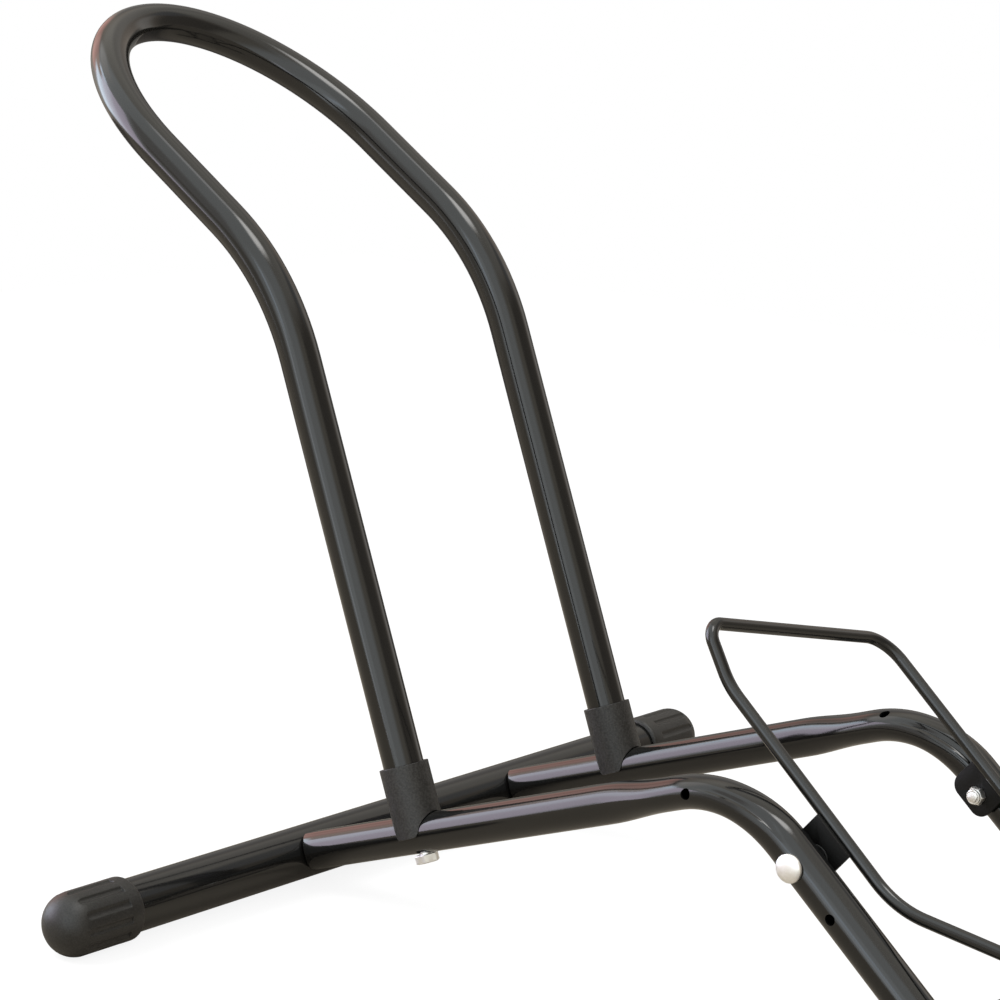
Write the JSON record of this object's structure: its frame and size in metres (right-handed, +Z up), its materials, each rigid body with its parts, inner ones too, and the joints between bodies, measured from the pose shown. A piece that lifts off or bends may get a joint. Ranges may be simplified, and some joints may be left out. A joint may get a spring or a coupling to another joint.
{
  "type": "bike storage rack",
  "caption": "Floor rack for a bicycle wheel: bent rails on cross tubes with ribbed caps, a tall leaning hoop on plastic sleeves, and a tilting wire loop that holds the tyre.",
  "frame": {"origin": "centre of the outer box's base, on the floor", "axes": "+X to the rear, where the wheel comes in; -Y is the rack's left side; +Z up"},
  "size_m": [0.8329, 0.613, 0.5307],
  "materials": {
    "black_gloss_paint": "gloss powder coat",
    "black_wire_paint": "gloss powder coat",
    "black_plate_paint": "satin paint",
    "grained_black_plastic": "fine-grained moulded plastic",
    "ribbed_black_plastic": "matt moulded plastic",
    "bright_zinc": "bright zinc plating"
  },
  "bodies": {
    "frame": {"front_cross_tube": "black_gloss_paint", "front_left_end_cap": "ribbed_black_plastic", "front_right_end_cap": "ribbed_black_plastic", "hoop_tube": "black_gloss_paint", "left_friction_washer": "bright_zinc", "left_hoop_bolt": "bright_zinc", "left_leg_insert": "bright_zinc", "left_lock_nut": "bright_zinc", "left_pivot_bolt": "bright_zinc", "left_rail": "black_gloss_paint", "left_saddle_sleeve": "grained_black_plastic", "rear_cross_tube": "black_gloss_paint", "rear_left_end_cap": "ribbed_black_plastic", "rear_right_end_cap": "ribbed_black_plastic", "right_friction_washer": "bright_zinc", "right_hoop_bolt": "bright_zinc", "right_leg_insert": "bright_zinc", "right_lock_nut": "bright_zinc", "right_pivot_bolt": "bright_zinc", "right_rail": "black_gloss_paint", "right_saddle_sleeve": "grained_black_plastic"},
    "wheel_stop": {"wire_loop": "black_wire_paint", "left_bracket_plate": "black_plate_paint", "right_bracket_plate": "black_plate_paint"}
  },
  "joints": [
    {"name": "stop_tilt", "type": "hinge", "parent": "frame", "child": "wheel_stop", "pos_m": [0.21489, 0, 0.10366], "axis": [0, 1, 0], "range_deg": [-60, 15]}
  ]
}
